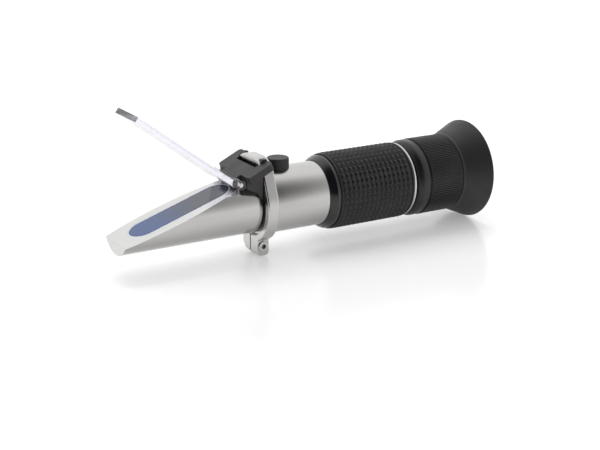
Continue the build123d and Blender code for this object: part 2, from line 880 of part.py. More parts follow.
with BuildPart() as lens_retainer:
    with BuildSketch(cross_plane(eye_lens_station + eye_lens_thickness - lens_bulge)):
        Circle(ocular_bore)
        Circle(ocular_bore - lens_lip, mode=Mode.SUBTRACT)
    extrude(amount=retainer_length)
    add(eye_lens.part, mode=Mode.SUBTRACT)
lens_retainer.part.label = "lens_retainer"
export_step(lens_retainer.part, "parts/lens_retainer.step")


# Focusing ring on the barrel: a bead, a groove and a band of fine ribs
ring_bore = tube_bore + running_gap
focus_radius = ring_bore + focus_wall
focus_front_radius = focus_radius - focus_front_drop
focus_bead_radius = focus_radius - focus_bead_drop
rib_root_radius = focus_radius - rib_depth
bead_end = focus_start + focus_bead_length
groove_start = bead_end - focus_groove_width
round_end = focus_start + focus_round_length
with BuildPart() as focus_ring:
    with BuildSketch(side_plane):
        with BuildLine():
            ThreePointArc(
                (focus_start, focus_front_radius),
                (focus_start + focus_round_length / 3, (focus_front_radius + 2 * focus_bead_radius) / 3),
                (round_end, focus_bead_radius),
            )
            Polyline(
                (round_end, focus_bead_radius),
                (groove_start, focus_bead_radius),
                (groove_start, focus_bead_radius - focus_groove_depth),
                (bead_end, focus_bead_radius - focus_groove_depth),
                (bead_end, rib_root_radius),
                (cup_start, rib_root_radius),
                (cup_start, barrel_bore),
                (web_start, barrel_bore),
                (web_start, ring_bore),
                (focus_start, ring_bore),
                (focus_start, focus_front_radius),
            )
        make_face()
    revolve(axis=optic_axis)
    # Fine ribs for the fingers, all round the band
    with BuildSketch(cross_plane(bead_end)):
        with PolarLocations(rib_root_radius, rib_count):
            Rectangle(2 * rib_depth, 2 * pi * rib_root_radius / rib_count * rib_share)
    extrude(amount=cup_start - bead_end)
focus_ring.part.label = "focus_ring"
export_step(focus_ring.part, "parts/focus_ring.step")

# Eyecup: a soft flared bowl behind the focusing ring
cup_root_radius = focus_radius + cup_root_rise
cup_root_station = cup_start + cup_root_length
cup_throat = ocular_radius - cup_throat_drop
rim_centre = (overall_length - cup_rim_round, rim_radius - cup_rim_round)
rim_lean = cup_rim_round * sin(radians(cup_flare_angle))
rim_lift = cup_rim_round * cos(radians(cup_flare_angle))
outer_edge = (rim_centre[0] - rim_lean, rim_centre[1] + rim_lift)
inner_edge = (rim_centre[0] + rim_lean, rim_centre[1] - rim_lift)
floor_edge = (cup_start + cup_floor, ocular_radius)
with BuildPart() as eyecup:
    with BuildSketch(side_plane):
        with BuildLine():
            FilletPolyline(
                (cup_start, cup_root_radius),
                (cup_root_station, cup_root_radius),
                outer_edge,
                radius=cup_root_round,
            )
            ThreePointArc(
                outer_edge,
                (rim_centre[0] + rim_lift, rim_centre[1] + rim_lean),
                inner_edge,
            )
            FilletPolyline(
                inner_edge,
                (cup_root_station + cup_floor, cup_root_radius - cup_wall),
                floor_edge,
                radius=cup_bowl_round,
            )
            Polyline(
                floor_edge,
                (cup_start + cup_floor - lens_lip, cup_throat),
                (cup_start, cup_throat),
                (cup_start, cup_root_radius),
            )
        make_face()
    revolve(axis=optic_axis)
eyecup.part.label = "eyecup"
export_step(eyecup.part, "parts/eyecup.step")
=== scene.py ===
"""Looks of a hand-held refractometer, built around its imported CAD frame.

The optical axis runs along +X from the prism nose to the eyecup and +Z is up. Stations are
millimetres along the axis from the tip of the nose, and heights are millimetres above the axis.
"""
from __future__ import annotations

import logging
import math
from dataclasses import dataclass
from enum import Enum
from functools import cache

import bmesh
import bpy
from mathutils import Matrix, Vector

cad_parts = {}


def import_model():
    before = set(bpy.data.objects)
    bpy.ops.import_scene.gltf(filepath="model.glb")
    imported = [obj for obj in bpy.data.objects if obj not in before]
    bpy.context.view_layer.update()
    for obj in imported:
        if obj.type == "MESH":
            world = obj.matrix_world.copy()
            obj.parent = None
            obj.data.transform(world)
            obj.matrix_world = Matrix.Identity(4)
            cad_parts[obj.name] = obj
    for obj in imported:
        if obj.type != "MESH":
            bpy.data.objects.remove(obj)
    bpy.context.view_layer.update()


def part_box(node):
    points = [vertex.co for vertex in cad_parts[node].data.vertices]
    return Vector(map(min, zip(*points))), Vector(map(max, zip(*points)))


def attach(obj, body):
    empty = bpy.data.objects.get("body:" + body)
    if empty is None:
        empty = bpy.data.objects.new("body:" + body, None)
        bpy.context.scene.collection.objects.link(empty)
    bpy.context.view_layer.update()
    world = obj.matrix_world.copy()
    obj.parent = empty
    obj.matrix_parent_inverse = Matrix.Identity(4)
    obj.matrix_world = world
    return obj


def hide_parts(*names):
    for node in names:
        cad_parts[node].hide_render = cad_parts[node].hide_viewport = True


MM = 0.001
# Edges sharper than this stay sharp
SMOOTH_ANGLE = math.radians(32)
# Neighbouring triangles flatter than this to each other become one face
FLAT_ANGLE = math.radians(0.6)
# Points closer than this are one point, in metres
MERGE_DISTANCE = 1e-6
# Strength with which large flat faces pull the shading of their corners
FLAT_FACE_WEIGHT = 100
# Share of a side that one rounded corner of an outline may take
CORNER_SHARE = 0.45
# Faces round the axis of the two large rear pieces
FINE_AROUND = 192
# Values of a noise between which it drives the whole of its range
NOISE_LOW = 0.3
NOISE_HIGH = 0.7
# Numbers of the colour sockets on a Mix node
MIX_FIRST = 6
MIX_SECOND = 7
MIX_RESULT = 2
# The sRGB curve: its straight foot and its power part
SRGB_KNEE = 0.04045
SRGB_FOOT = 12.92
SRGB_OFFSET = 0.055
SRGB_POWER = 2.4

log = logging.getLogger("refractometer")


# Shared helpers: places on the axis, colours and nodes


@cache
def axis_height() -> float:
    """Height of the optical axis in the frame, in metres."""
    low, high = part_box("main_tube")
    return (low.z + high.z) / 2


@cache
def nose_x() -> float:
    """Place of the nose tip along the frame's X, in metres."""
    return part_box("prism_housing")[0].x


def station(x: float) -> float:
    """Station in millimetres of a place along the frame's X in metres."""
    return (x - nose_x()) / MM


def radius_of(node: str) -> float:
    """Outer radius in millimetres of a CAD node that is round about the axis."""
    low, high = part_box(node)
    return (high.y - low.y) / 2 / MM


def linear(hex_colour: str) -> tuple[float, float, float, float]:
    """Turns an sRGB hex colour into a linear RGBA value.

    Args:
        hex_colour: the colour as "#rrggbb".

    Returns:
        Red, green, blue and alpha, linear, from 0 to 1.
    """
    parts = [int(hex_colour[i:i + 2], 16) / 255 for i in (1, 3, 5)]
    made = [
        c / SRGB_FOOT if c <= SRGB_KNEE else ((c + SRGB_OFFSET) / (1 + SRGB_OFFSET)) ** SRGB_POWER
        for c in parts
    ]
    return made[0], made[1], made[2], 1.0


def per_metre(size_mm: float) -> float:
    """Texture scale at which one cell of a pattern has the given size in millimetres."""
    return 1 / (size_mm * MM)


def add_node(
    tree: bpy.types.NodeTree,
    kind: str,
    settings: dict | None = None,
    inputs: dict | None = None,
) -> bpy.types.Node:
    """Adds a node with its settings, values and links.

    Args:
        tree: the node tree that gets the node.
        kind: the node's type name.
        settings: properties of the node by name.
        inputs: what each input gets, by its name or number: a socket to link, or a value.

    Returns:
        The new node.
    """
    node = tree.nodes.new(kind)
    for name, value in (settings or {}).items():
        setattr(node, name, value)
    for key, value in (inputs or {}).items():
        if isinstance(value, bpy.types.NodeSocket):
            tree.links.new(value, node.inputs[key])
        else:
            node.inputs[key].default_value = value
    return node


# Finishes


class Lay(Enum):
    """Direction in which a metal's machining marks run."""

    ROUND = (1.0, 0.03, 0.03)
    ALONG = (0.03, 1.0, 1.0)
    NONE = (1.0, 1.0, 1.0)


@dataclass(frozen=True)
class Finish:
    """What the surface finishes share: a name and a Principled shader with its grain."""

    name: str
    colour: str
    roughness: float

    def start(self) -> tuple[bpy.types.Material, bpy.types.NodeTree, bpy.types.Node]:
        """Makes the material with a Principled shader.

        Returns:
            The material, its node tree and the shader node.
        """
        material = bpy.data.materials.new(self.name)
        material.use_nodes = True
        tree = material.node_tree
        shader = tree.nodes["Principled BSDF"]
        shader.inputs["Roughness"].default_value = self.roughness
        shader.inputs["Base Color"].default_value = linear(self.colour)
        return material, tree, shader

    def noise(
        self,
        tree: bpy.types.NodeTree,
        size_mm: float,
        stretch: tuple[float, float, float],
        detail: float = 3,
    ) -> bpy.types.Node:
        """Adds noise on the piece's own coordinates.

        Args:
            tree: the material's node tree.
            size_mm: size of one grain in millimetres.
            stretch: share of that frequency along X, Y and Z.
            detail: number of finer octaves.

        Returns:
            The noise node.
        """
        place = add_node(tree, "ShaderNodeTexCoord")
        laid = add_node(
            tree, "ShaderNodeMapping", {}, {"Vector": place.outputs["Object"], "Scale": stretch}
        )
        return add_node(
            tree,
            "ShaderNodeTexNoise",
            {},
            {"Vector": laid.outputs["Vector"], "Scale": per_metre(size_mm), "Detail": detail},
        )

    def vary(
        self,
        tree: bpy.types.NodeTree,
        shader: bpy.types.Node,
        noise: bpy.types.Node,
        other: str,
    ) -> None:
        """Blends the colour towards another one by a noise.

        Args:
            tree: the material's node tree.
            shader: the Principled shader.
            noise: the noise node.
            other: the second colour.
        """
        mix = add_node(
            tree,
            "ShaderNodeMix",
            {"data_type": "RGBA"},
            {"Factor": noise.outputs["Fac"], MIX_FIRST: linear(self.colour), MIX_SECOND: linear(other)},
        )
        tree.links.new(mix.outputs[MIX_RESULT], shader.inputs["Base Color"])

    def rough(
        self,
        tree: bpy.types.NodeTree,
        shader: bpy.types.Node,
        noise: bpy.types.Node,
        spread: float,
    ) -> None:
        """Lets the roughness wander about its value.

        Args:
            tree: the material's node tree.
            shader: the Principled shader.
            noise: the noise node.
            spread: how far it goes to each side.
        """
        wander = add_node(
            tree,
            "ShaderNodeMapRange",
            {},
            {
                "Value": noise.outputs["Fac"],
                "From Min": NOISE_LOW,
                "From Max": NOISE_HIGH,
                "To Min": self.roughness - spread,
                "To Max": self.roughness + spread,
            },
        )
        tree.links.new(wander.outputs["Result"], shader.inputs["Roughness"])

    def grain(
        self,
        tree: bpy.types.NodeTree,
        shader: bpy.types.Node,
        height: bpy.types.NodeSocket,
        depth_mm: float,
        strength: float = 1.0,
    ) -> None:
        """Raises a fine grain on the surface.

        Args:
            tree: the material's node tree.
            shader: the Principled shader.
            height: the socket with the grain's height, from 0 to 1.
            depth_mm: the grain's depth in millimetres.
            strength: share of the bump that is kept.
        """
        bump = add_node(
            tree,
            "ShaderNodeBump",
            {},
            {"Height": height, "Distance": depth_mm * MM, "Strength": strength},
        )
        tree.links.new(bump.outputs["Normal"], shader.inputs["Normal"])


@dataclass(frozen=True)
class Metal(Finish):
    """A bare or clear-anodised metal with machining marks."""

    other: str
    lay: Lay = Lay.ROUND
    mark_mm: float = 0.12
    mark_depth_mm: float = 0.0006
    mark_detail: float = 2
    cloud_mm: float = 9
    rough_spread: float = 0.03

    def build(self) -> bpy.types.Material:
        """Builds the metal.

        Returns:
            The material.
        """
        material, tree, shader = self.start()
        shader.inputs["Metallic"].default_value = 1.0
        cloud = self.noise(tree, self.cloud_mm, Lay.NONE.value)
        marks = self.noise(tree, self.mark_mm, self.lay.value, self.mark_detail)
        self.vary(tree, shader, marks, self.other)
        self.rough(tree, shader, cloud, self.rough_spread)
        self.grain(tree, shader, marks.outputs["Fac"], self.mark_depth_mm)
        return material


@dataclass(frozen=True)
class Moulded(Finish):
    """A moulded plastic or rubber with a fine leather-like grain and a little dust."""

    other: str
    grain_mm: float = 0.35
    depth_mm: float = 0.012
    coat: float = 0.0
    sheen: float = 0.0
    ior: float = 1.5
    coat_roughness: float = 0.08
    cloud_mm: float = 6
    grain_detail: float = 2
    grain_share: float = 0.6
    rough_spread: float = 0.05

    def build(self) -> bpy.types.Material:
        """Builds the moulded finish.

        Returns:
            The material.
        """
        material, tree, shader = self.start()
        shader.inputs["IOR"].default_value = self.ior
        shader.inputs["Coat Weight"].default_value = self.coat
        shader.inputs["Coat Roughness"].default_value = self.coat_roughness
        shader.inputs["Sheen Weight"].default_value = self.sheen
        cloud = self.noise(tree, self.cloud_mm, Lay.NONE.value)
        cells = self.noise(tree, self.grain_mm, Lay.NONE.value, self.grain_detail)
        self.vary(tree, shader, cloud, self.other)
        self.rough(tree, shader, cloud, self.rough_spread)
        self.grain(tree, shader, cells.outputs["Fac"], self.depth_mm, self.grain_share)
        return material


@dataclass(frozen=True)
class Clear(Finish):
    """A clear glass or plastic that light goes through."""

    ior: float = 1.49
    film: float = 0.0
    wave_mm: float = 7
    wave_detail: float = 1
    wave_depth_mm: float = 0.02
    wave_share: float = 0.5

    def build(self) -> bpy.types.Material:
        """Builds the clear finish.

        Returns:
            The material.
        """
        material, tree, shader = self.start()
        shader.inputs["IOR"].default_value = self.ior
        shader.inputs["Transmission Weight"].default_value = 1.0
        shader.inputs["Thin Film Thickness"].default_value = self.film
        waves = self.noise(tree, self.wave_mm, Lay.NONE.value, self.wave_detail)
        self.rough(tree, shader, waves, self.roughness / 2)
        self.grain(tree, shader, waves.outputs["Fac"], self.wave_depth_mm, self.wave_share)
        return material


@dataclass(frozen=True)
class PrismGlass(Finish):
    """The measuring prism: polished glass over a dark inside that turns from blue to grey."""

    rear: str
    start_mm: float
    end_mm: float
    ior: float = 1.6
    cloud_mm: float = 14
    cloud_detail: float = 1

    def build(self) -> bpy.types.Material:
        """Builds the prism glass.

        Returns:
            The material.
        """
        material, tree, shader = self.start()
        shader.inputs["IOR"].default_value = self.ior
        place = add_node(tree, "ShaderNodeTexCoord")
        parts = add_node(tree, "ShaderNodeSeparateXYZ", {}, {"Vector": place.outputs["Object"]})
        cloud = self.noise(tree, self.cloud_mm, Lay.NONE.value, self.cloud_detail)
        ramp = add_node(
            tree,
            "ShaderNodeMapRange",
            {"interpolation_type": "SMOOTHSTEP"},
            {"Value": parts.outputs["X"], "From Min": nose_x() + self.start_mm * MM,
             "From Max": nose_x() + self.end_mm * MM},
        )
        mix = add_node(
            tree,
            "ShaderNodeMix",
            {"data_type": "RGBA"},
            {
                "Factor": ramp.outputs["Result"],
                MIX_FIRST: linear(self.colour),
                MIX_SECOND: linear(self.rear),
            },
        )
        tree.links.new(mix.outputs[MIX_RESULT], shader.inputs["Base Color"])
        self.rough(tree, shader, cloud, self.roughness / 3)
        return material


# Clear-anodised turned aluminium: soft grey, with faint rings round the axis
SATIN_ALUMINIUM = Metal("satin_anodised_aluminium", "#cac9c7", 0.2, "#bcbbb9")
# Milled face of the same aluminium: brighter, with faint cutter marks across it
MILLED_ALUMINIUM = Metal("milled_aluminium", "#dcdcda", 0.3, "#cfcfce", Lay.ALONG)
# Polished nickel plate: a bright hard edge with soft grey faces; on the band's rim faces its brightness is
# partly a painted highlight
BRIGHT_NICKEL = Metal("bright_nickel_plate", "#d0cfcd", 0.22, "#c4c3c1", Lay.NONE, 0.5, 0.0004)
# Turned brass, a little dull from handling
TURNED_BRASS = Metal("turned_brass", "#c9a45c", 0.28, "#b48d47")
# Black anodised aluminium inside the tube: matt black that kills stray light
BLACK_ANODISE = Metal("black_anodised_aluminium", "#1c1c1e", 0.5, "#161618")
# Moulded nylon of the bracket: dark warm grey with a fine spark-eroded grain
MOULDED_NYLON = Moulded("moulded_nylon", "#363234", 0.46, "#2e2b2c", 0.3, 0.01)
# Moulded ABS of the focusing ring: black with a satin gloss
SATIN_ABS = Moulded("satin_abs", "#1c1b1a", 0.36, "#161515", 0.3, 0.006)
# Polished black bead at the front of the grip: deep black with a wet gloss
GLOSS_BLACK = Moulded("gloss_black_abs", "#17181a", 0.2, "#131416", 0.8, 0.003, 0.4)
# Grip rubber: matt black-brown with soft highlights on its points
GRIP_RUBBER = Moulded("grip_rubber", "#232021", 0.5, "#1b191a", 0.4, 0.01, 0.0, 0.05)
# Soft eyecup rubber: matt charcoal, a touch lighter where it is dusty
SOFT_RUBBER = Moulded("soft_rubber", "#2b2b2b", 0.52, "#232323", 0.4, 0.008, 0.0, 0.05)
# Seal of clear silicone round the prism as a pale cold line: the pale colour is partly the seal's own,
# partly a painted highlight of the window's bright edge
SEAL_AND_PAINTED_HIGHLIGHT = Moulded("seal_and_painted_highlight", "#e6eaf5", 0.35, "#d8deee", 0.2, 0.004)
# Clear cast acrylic of the daylight plate: a pale lilac where light goes through its length
CLEAR_ACRYLIC = Clear("clear_acrylic", "#eceaf3", 0.1)
# Coated crown glass of the lenses: clear with a faint coloured bloom
COATED_GLASS = Clear("coated_crown_glass", "#f4f8f6", 0.01, 1.52, 420)
# Flint glass of the prism, dark blue at the front and grey at the rear
PRISM_GLASS = PrismGlass("prism_flint_glass", "#234a86", 0.05, "#383d47", 10, 38)


# Mesh helpers


def link(mesh: bpy.types.Mesh, name: str) -> bpy.types.Object:
    """Makes an object of a mesh in the scene.

    Args:
        mesh: the mesh, in the frame's own coordinates.
        name: the piece's name.

    Returns:
        The object.
    """
    piece = bpy.data.objects.new(name, mesh)
    bpy.context.scene.collection.objects.link(piece)
    return piece


def smooth(mesh: bpy.types.Mesh) -> None:
    """Shades a mesh smooth, with its sharp edges kept.

    Args:
        mesh: the mesh.
    """
    mesh.shade_smooth()
    mesh.set_sharp_from_angle(angle=SMOOTH_ANGLE)


def bake(piece: bpy.types.Object) -> bpy.types.Object:
    """Turns a piece with live modifiers into one plain mesh.

    Args:
        piece: the object with its modifiers.

    Returns:
        The same object, with the result as its mesh and no modifiers.
    """
    bpy.context.view_layer.update()
    graph = bpy.context.evaluated_depsgraph_get()
    made = bpy.data.meshes.new_from_object(piece.evaluated_get(graph), depsgraph=graph)
    piece.modifiers.clear()
    old = piece.data
    piece.data = made
    bpy.data.meshes.remove(old)
    return piece


def rounded_copy(node: str, name: str, edge_mm: float, segments: int = 2) -> bpy.types.Object:
    """Copies a CAD node as one joined mesh with rounded edges.

    Args:
        node: the CAD node.
        name: the new piece's name.
        edge_mm: radius on the sharp edges in millimetres.
        segments: faces across each rounded edge.

    Returns:
        The new piece.
    """
    source = bpy.data.objects[node]
    form = bmesh.new()
    form.from_mesh(source.data)
    bmesh.ops.remove_doubles(form, verts=form.verts, dist=MERGE_DISTANCE)
    bmesh.ops.dissolve_limit(form, angle_limit=FLAT_ANGLE, verts=form.verts, edges=form.edges)
    mesh = bpy.data.meshes.new(name)
    form.to_mesh(mesh)
    form.free()
    mesh.materials.clear()
    smooth(mesh)
    piece = link(mesh, name)
    bevel = piece.modifiers.new("edges", "BEVEL")
    bevel.width = edge_mm * MM
    bevel.segments = segments
    bevel.limit_method = "ANGLE"
    bevel.angle_limit = SMOOTH_ANGLE
    bevel.use_clamp_overlap = True
    bevel.harden_normals = True
    weigh = piece.modifiers.new("flat_faces", "WEIGHTED_NORMAL")
    weigh.keep_sharp = True
    weigh.weight = FLAT_FACE_WEIGHT
    return bake(piece)


def corner_arc(before: Vector, corner: Vector, after: Vector, radius: float, steps: int) -> list[Vector]:
    """Replaces one corner of an outline with an arc.

    Args:
        before: the point before the corner.
        corner: the corner.
        after: the point after the corner.
        radius: radius of the arc in the outline's units.
        steps: pieces in the arc.

    Returns:
        The points of the arc.
    """
    back = (before - corner).normalized()
    ahead = (after - corner).normalized()
    half = back.angle(ahead) / 2
    shorter = min((before - corner).length, (after - corner).length)
    reach = min(radius / math.tan(half), CORNER_SHARE * shorter)
    radius = reach * math.tan(half)
    centre = corner + (back + ahead).normalized() * (radius / math.sin(half))
    first = corner + back * reach - centre
    last = corner + ahead * reach - centre
    sweep = first.angle_signed(last)
    made = []
    for step in range(steps + 1):
        turn = -sweep * step / steps
        made.append(centre + Matrix.Rotation(turn, 2) @ first)
    return made


def turned(
    name: str,
    outline: list[tuple[float, float, float]],
    around: int = 160,
    steps: int = 4,
) -> bpy.types.Object:
    """Turns a closed outline round the optical axis.

    Args:
        name: the piece's name.
        outline: station, radius and corner radius of each point, in millimetres.
        around: faces round the axis.
        steps: faces in each rounded corner.

    Returns:
        The new piece, a closed shell.
    """
    points: list[Vector] = []
    count = len(outline)
    for index, (along, radius, corner) in enumerate(outline):
        here = Vector((along, radius))
        if corner > 0:
            before = Vector(outline[index - 1][:2])
            after = Vector(outline[(index + 1) % count][:2])
            points += corner_arc(before, here, after, corner, steps)
        else:
            points.append(here)
    form = bmesh.new()
    rings = []
    for point in points:
        ring = []
        for turn in range(around):
            angle = 2 * math.pi * turn / around
            ring.append(form.verts.new((
                nose_x() + point.x * MM,
                point.y * MM * math.sin(angle),
                axis_height() + point.y * MM * math.cos(angle),
            )))
        rings.append(ring)
    for index, ring in enumerate(rings):
        after_ring = rings[(index + 1) % len(rings)]
        for turn in range(around):
            beside = (turn + 1) % around
            form.faces.new((ring[turn], ring[beside], after_ring[beside], after_ring[turn]))
    bmesh.ops.remove_doubles(form, verts=form.verts, dist=MERGE_DISTANCE)
    bmesh.ops.recalc_face_normals(form, faces=form.faces)
    mesh = bpy.data.meshes.new(name)
    form.to_mesh(mesh)
    form.free()
    smooth(mesh)
    return link(mesh, name)


# Geometry Nodes for what repeats


class Around:
    """Geometry Nodes tree that sets a small form in rows along and round the optical axis."""

    def __init__(self, name: str) -> None:
        """Starts the tree with its named inputs.

        Args:
            name: the tree's name.
        """
        self.tree = bpy.data.node_groups.new(name, "GeometryNodeTree")
        sockets = self.tree.interface
        for label, kind in (
            ("Rows", "NodeSocketInt"),
            ("Columns", "NodeSocketInt"),
            ("Radius", "NodeSocketFloat"),
            ("Pitch", "NodeSocketFloat"),
            ("Start", "NodeSocketFloat"),
            ("Axis height", "NodeSocketFloat"),
            ("Half turn", "NodeSocketFloat"),
            ("Form", "NodeSocketObject"),
            ("Finish", "NodeSocketMaterial"),
        ):
            sockets.new_socket(label, in_out="INPUT", socket_type=kind)
        sockets.new_socket("Geometry", in_out="OUTPUT", socket_type="NodeSocketGeometry")
        self.build()

    def build(self) -> None:
        """Adds the nodes: a grid wrapped round the axis, the forms on it, and the finish."""
        tree = self.tree
        given = add_node(tree, "NodeGroupInput").outputs
        maths = "ShaderNodeMath"
        total = add_node(
            tree, maths, {"operation": "MULTIPLY"}, {0: given["Rows"], 1: given["Columns"]}
        )
        points = add_node(
            tree, "GeometryNodeMeshLine", {}, {"Count": total.outputs[0], "Offset": (0, 0, 0)}
        )
        index = add_node(tree, "GeometryNodeInputIndex").outputs[0]
        ratio = add_node(tree, maths, {"operation": "DIVIDE"}, {0: index, 1: given["Columns"]})
        row = add_node(tree, maths, {"operation": "FLOOR"}, {0: ratio.outputs[0]})
        column = add_node(tree, maths, {"operation": "MODULO"}, {0: index, 1: given["Columns"]})
        share = add_node(tree, maths, {"operation": "ADD"}, {0: row.outputs[0], 1: given["Half turn"]})
        turn = add_node(tree, maths, {"operation": "DIVIDE"}, {0: share.outputs[0], 1: given["Rows"]})
        angle = add_node(tree, maths, {"operation": "MULTIPLY"}, {0: turn.outputs[0], 1: 2 * math.pi})
        along = add_node(
            tree, maths, {"operation": "MULTIPLY_ADD"},
            {0: column.outputs[0], 1: given["Pitch"], 2: given["Start"]},
        )
        sine = add_node(tree, maths, {"operation": "SINE"}, {0: angle.outputs[0]})
        cosine = add_node(tree, maths, {"operation": "COSINE"}, {0: angle.outputs[0]})
        minus = add_node(tree, maths, {"operation": "MULTIPLY"}, {0: given["Radius"], 1: -1.0})
        side = add_node(tree, maths, {"operation": "MULTIPLY"}, {0: sine.outputs[0], 1: minus.outputs[0]})
        lift = add_node(
            tree, maths, {"operation": "MULTIPLY_ADD"},
            {0: cosine.outputs[0], 1: given["Radius"], 2: given["Axis height"]},
        )
        place = add_node(
            tree, "ShaderNodeCombineXYZ", {}, {0: along.outputs[0], 1: side.outputs[0], 2: lift.outputs[0]}
        )
        tilt = add_node(tree, "ShaderNodeCombineXYZ", {}, {0: angle.outputs[0]})
        wrapped = add_node(
            tree, "GeometryNodeSetPosition", {},
            {"Geometry": points.outputs["Mesh"], "Position": place.outputs["Vector"]},
        )
        form = add_node(tree, "GeometryNodeObjectInfo", {}, {"Object": given["Form"]})
        many = add_node(
            tree, "GeometryNodeInstanceOnPoints", {},
            {"Points": wrapped.outputs["Geometry"], "Instance": form.outputs["Geometry"],
             "Rotation": tilt.outputs["Vector"]},
        )
        real = add_node(tree, "GeometryNodeRealizeInstances", {}, {"Geometry": many.outputs["Instances"]})
        dressed = add_node(
            tree, "GeometryNodeSetMaterial", {},
            {"Geometry": real.outputs["Geometry"], "Material": given["Finish"]},
        )
        add_node(tree, "NodeGroupOutput", {}, {"Geometry": dressed.outputs["Geometry"]})

    def grow(self, name: str, sizes: dict) -> bpy.types.Object:
        """Runs the tree and keeps its result as one plain mesh.

        Args:
            name: the new piece's name.
            sizes: what each named input gets.

        Returns:
            The new piece.
        """
        piece = link(bpy.data.meshes.new(name), name)
        modifier = piece.modifiers.new("rows", "NODES")
        modifier.node_group = self.tree
        for socket in self.tree.interface.items_tree:
            if socket.in_out == "INPUT":
                modifier[socket.identifier] = sizes[socket.name]
        bake(piece)
        bpy.data.objects.remove(sizes["Form"])
        return piece


def small_form(
    name: str,
    corners: list[tuple[float, float, float]],
    faces: list[tuple[int, ...]],
) -> bpy.types.Object:
    """Makes the small form that a tree repeats.

    Args:
        name: its name.
        corners: its corners in millimetres, with +Z away from the axis.
        faces: its faces as corner numbers.

    Returns:
        The form.
    """
    mesh = bpy.data.meshes.new(name)
    mesh.from_pydata([Vector(corner) * MM for corner in corners], [], faces)
    form = bmesh.new()
    form.from_mesh(mesh)
    bmesh.ops.recalc_face_normals(form, faces=form.faces)
    form.to_mesh(mesh)
    form.free()
    return link(mesh, name)


# Sub-assemblies


@dataclass
class Assembly:
    """What the sub-assemblies share: the body they ride on and the way a piece is dressed."""

    body: str

    def dress(self, piece: bpy.types.Object, finish: bpy.types.Material, slot: str, *nodes: str) -> None:
        """Gives a new piece its finish, its body and its place in the frame.

        Args:
            piece: the new piece.
            finish: its material.
            slot: not used.
            nodes: the CAD nodes that it stands for.
        """
        if not piece.data.materials:
            piece.data.materials.append(finish)
        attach(piece, self.body)
        if nodes:
            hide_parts(*nodes)
        log.info("%s: %d faces on %s", piece.name, len(piece.data.polygons), self.body)

    def keep(self, node: str, finish: bpy.types.Material) -> None:
        """Dresses a CAD node that is shown as it is.

        Args:
            node: the CAD node.
            finish: its material.
        """
        piece = bpy.data.objects[node]
        piece.data.materials.clear()
        piece.data.materials.append(finish)
        log.info("%s: CAD node on %s", node, self.body)


@dataclass
class Nose(Assembly):
    """The prism housing with its milled slanted face, the prism and its seal."""

    edge_mm: float = 0.25
    glass_edge_mm: float = 0.1
    seal_edge_mm: float = 0.05
    slant_degrees: float = 18.26
    face_tolerance: float = 0.002

    def build(self) -> None:
        """Builds and dresses the nose."""
        satin = SATIN_ALUMINIUM.build()
        housing = rounded_copy("prism_housing", "nose_housing", self.edge_mm)
        housing.data.materials.append(satin)
        housing.data.materials.append(MILLED_ALUMINIUM.build())
        slant = math.radians(self.slant_degrees)
        up = Vector((-math.sin(slant), 0, math.cos(slant)))
        front = Vector((-1, 0, 0))
        for face in housing.data.polygons:
            milled = face.normal.dot(up) > 1 - self.face_tolerance
            milled = milled or face.normal.dot(front) > 1 - self.face_tolerance
            face.material_index = 1 if milled else 0
        self.dress(housing, satin, "satin_aluminium", "prism_housing")
        prism = rounded_copy("main_prism", "prism_window", self.glass_edge_mm)
        self.dress(prism, PRISM_GLASS.build(), "prism_glass", "main_prism")
        # The seal's pale colour is partly its own and partly a painted highlight along the window's edge
        seal = rounded_copy("prism_seal", "prism_gasket", self.seal_edge_mm)
        self.dress(seal, SEAL_AND_PAINTED_HIGHLIGHT.build(), "seal", "prism_seal")


@dataclass
class TubeUnit(Assembly):
    """The main tube with its calibration bush and screw under the rubber cap."""

    wall_mm: float = 1.45
    edge_mm: float = 0.2
    bush_edge_mm: float = 0.15
    screw_edge_mm: float = 0.1
    cap_edge_mm: float = 0.2

    def build(self) -> None:
        """Builds and dresses the tube."""
        low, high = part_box("main_tube")
        start = station(low.x)
        end = station(high.x)
        radius = radius_of("main_tube")
        inner = radius - self.wall_mm
        tube = turned("tube_shell", [
            (start, inner, self.edge_mm),
            (start, radius, self.edge_mm),
            (end, radius, self.edge_mm),
            (end, inner, self.edge_mm),
        ])
        self.dress(tube, SATIN_ALUMINIUM.build(), "satin_aluminium", "main_tube")
        bush = rounded_copy("calibration_bush", "bush", self.bush_edge_mm)
        self.dress(bush, TURNED_BRASS.build(), "brass", "calibration_bush")
        screw = rounded_copy("calibration_screw", "calibration_grub_screw", self.screw_edge_mm)
        screw_unit = Assembly("screw")
        screw_unit.dress(screw, TURNED_BRASS.build(), "brass", "calibration_screw")
        cap = rounded_copy("calibration_cap", "rubber_cap", self.cap_edge_mm)
        cap_unit = Assembly("cap")
        cap_unit.dress(cap, SOFT_RUBBER.build(), "black_rubber", "calibration_cap")


@dataclass
class Clamp(Assembly):
    """The band round the tube with its two ears and the screw between them."""

    edge_mm: float = 0.3
    edge_segments: int = 3
    screw_edge_mm: float = 0.12
    rim_share: float = 0.2

    def build(self) -> None:
        """Builds and dresses the clamp."""
        nickel = BRIGHT_NICKEL.build()
        band = rounded_copy("clamp_band", "band", self.edge_mm, self.edge_segments)
        band.data.materials.append(nickel)
        band.data.materials.append(SATIN_ALUMINIUM.build())
        # Faces picked by direction: the rim faces keep the brighter nickel, partly as a painted highlight
        # of the rim, and the outer faces take the tube's satin aluminium
        for face in band.data.polygons:
            face.material_index = 1 if abs(face.normal.x) < self.rim_share else 0
        self.dress(band, nickel, "bright_metal", "clamp_band")
        screw = rounded_copy("clamp_screw", "socket_screw", self.screw_edge_mm)
        self.dress(screw, nickel, "bright_metal", "clamp_screw")


